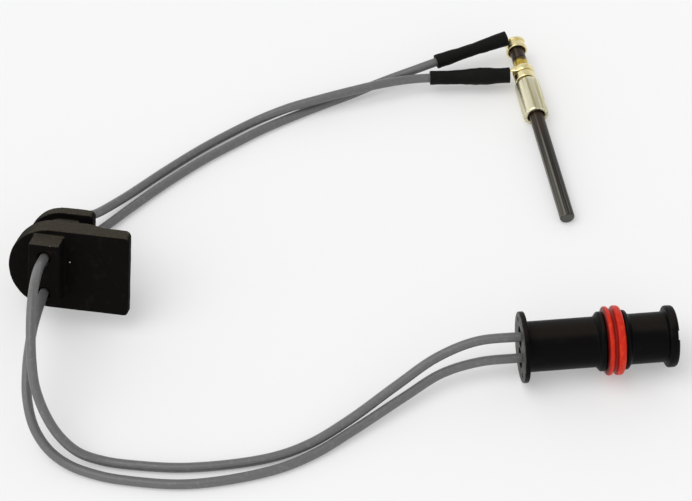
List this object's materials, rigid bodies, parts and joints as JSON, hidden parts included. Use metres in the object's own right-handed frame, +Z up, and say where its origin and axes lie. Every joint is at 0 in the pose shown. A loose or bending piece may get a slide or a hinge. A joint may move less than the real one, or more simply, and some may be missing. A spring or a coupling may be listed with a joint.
{
  "type": "flame sensor probe",
  "caption": "Flame sensor: ceramic rod in a metal sleeve with two brazed contact rings, spliced to a twin lead through a rubber wall grommet, ending in a round sealed connector.",
  "frame": {"origin": "on the surface that the part lies on, under the middle of the ceramic probe", "axes": "+Y from the probe's tip to its wired end, +Z up from the surface, +X away from the leads"},
  "size_m": [0.1726, 0.14, 0.0295],
  "materials": {
    "ceramic": "satin fired silicon ceramic",
    "conductor": "buried resistance wire",
    "metallising": "thin deep gold metal layer",
    "brass": "turned, satin",
    "sleeve_metal": "pale gold plated, drawn along its length",
    "braze": "dull brazing alloy",
    "tinned_metal": "tin plated",
    "copper": "bare stranded copper",
    "heat_shrink": "matte, faintly wrinkled",
    "insulation": "grey, satin",
    "rubber": "moulded, matte, dusty",
    "connector_plastic": "moulded, satin",
    "silicone": "red, satin"
  },
  "bodies": {
    "root": {"ceramic_rod": "ceramic", "conductor_loop": "conductor", "front_metallised_band": "metallising", "rear_metallised_band": "metallising", "front_contact_ring": "brass", "rear_contact_ring": "brass", "metal_sleeve": "sleeve_metal", "sleeve_seal_plug": "braze", "front_heat_shrink": "heat_shrink", "front_crimp_barrel": "tinned_metal", "front_stripped_end": "copper", "front_contact_tab": "brass", "rear_heat_shrink": "heat_shrink", "rear_crimp_barrel": "tinned_metal", "rear_stripped_end": "copper", "rear_contact_tab": "brass", "upper_lead": "insulation", "lower_lead": "insulation", "rubber_grommet": "rubber", "connector_housing": "connector_plastic", "connector_seal": "silicone", "upper_socket_terminal": "tinned_metal", "upper_connector_stripped_end": "copper", "lower_socket_terminal": "tinned_metal", "lower_connector_stripped_end": "copper"}
  },
  "joints": []
}
